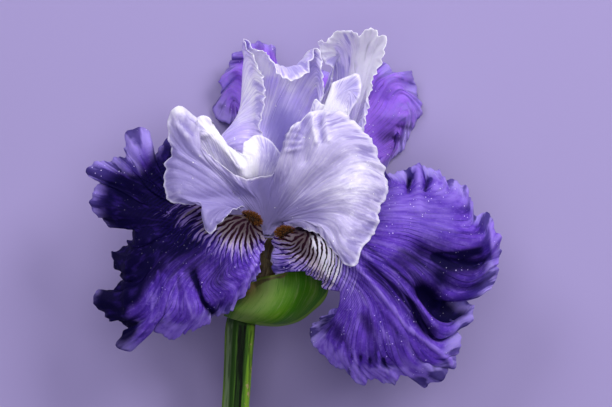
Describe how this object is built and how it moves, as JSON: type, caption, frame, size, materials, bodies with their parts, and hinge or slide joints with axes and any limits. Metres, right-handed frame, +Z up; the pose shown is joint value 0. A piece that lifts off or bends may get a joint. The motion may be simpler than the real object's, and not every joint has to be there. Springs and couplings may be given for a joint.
{
  "type": "bearded iris flower",
  "caption": "Cut bearded iris bloom lying on its back: pale upright standards, ruffled violet falls with fuzzy beards, a green bract and a length of stem.",
  "frame": {"origin": "on the ground under the middle of the flower's length and width", "axes": "+Z up, +Y along the stem from its cut end towards the bloom, +X to the bloom's right as seen from above"},
  "size_m": [0.1388, 0.1952, 0.0575],
  "materials": {
    "standard_petal": "soft, faintly veined, translucent",
    "fall_petal": "velvety, veined",
    "style_arm": "soft, translucent",
    "beard": "fuzzy",
    "stamen": "powdery",
    "stem": "smooth, faintly waxy",
    "green_bract": "smooth, finely veined",
    "papery_bract": "dry and papery",
    "ovary": "smooth",
    "perianth_tube": "smooth"
  },
  "bodies": {
    "root": {"standard_front": "standard_petal", "standard_back_left": "standard_petal", "standard_back_right": "standard_petal", "fall_left": "fall_petal", "fall_right": "fall_petal", "fall_back": "fall_petal", "style_arm_left": "style_arm", "style_arm_right": "style_arm", "style_arm_back": "style_arm", "beard_left": "beard", "beard_right": "beard", "beard_back": "beard", "stamen_left": "stamen", "stamen_right": "stamen", "stamen_back": "stamen", "stem": "stem", "spathe_outer": "green_bract", "spathe_inner": "papery_bract", "ovary": "ovary", "perianth_tube": "perianth_tube"}
  },
  "joints": []
}
